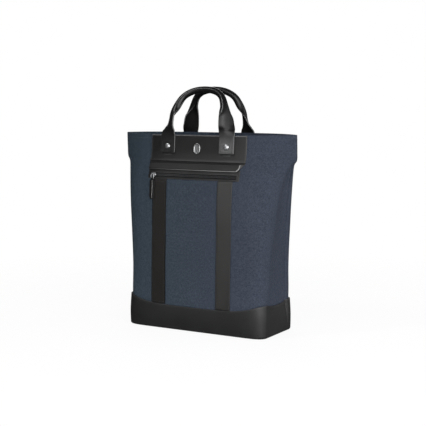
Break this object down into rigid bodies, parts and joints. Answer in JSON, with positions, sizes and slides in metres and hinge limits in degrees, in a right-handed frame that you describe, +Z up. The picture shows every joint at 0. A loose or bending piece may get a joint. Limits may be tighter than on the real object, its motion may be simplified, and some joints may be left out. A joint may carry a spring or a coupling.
{
  "type": "convertible backpack tote",
  "caption": "Open-topped slate blue fabric carry bag with a black leather base cup, front yoke with a zip pocket, webbing straps and rolled leather handles.",
  "frame": {"origin": "centre of the bag's bounding box on the surface it stands on", "axes": "+X to the right seen from the front, -Y out of the front with the zip, +Z up towards the handles"},
  "size_m": [0.3982, 0.1447, 0.495],
  "materials": {
    "body_fabric": "dense heather weave",
    "leather": "smooth, softly shining",
    "webbing": "ribbed webbing, matt",
    "zip_teeth": "moulded teeth on dark tape",
    "steel": "polished, light brushing"
  },
  "bodies": {
    "bag": {"fabric_body": "body_fabric", "base_boot": "leather", "strap_left": "webbing", "strap_right": "webbing", "yoke": "leather", "zip_band": "leather", "zip_chain": "zip_teeth", "zip_slider": "steel", "badge": "steel", "handle_front": "leather", "handle_back": "leather", "rivet_front_left": "steel", "rivet_front_right": "steel", "rivet_back_left": "steel", "rivet_back_right": "steel"},
    "puller": {"puller_link": "steel", "puller_tab": "leather"}
  },
  "joints": [
    {"name": "puller_swing", "type": "hinge", "parent": "bag", "child": "puller", "pos_m": [-0.09454, -0.06928, 0.31768], "axis": [-0.9971, 0.0757, 0], "range_deg": [0, 150]}
  ]
}
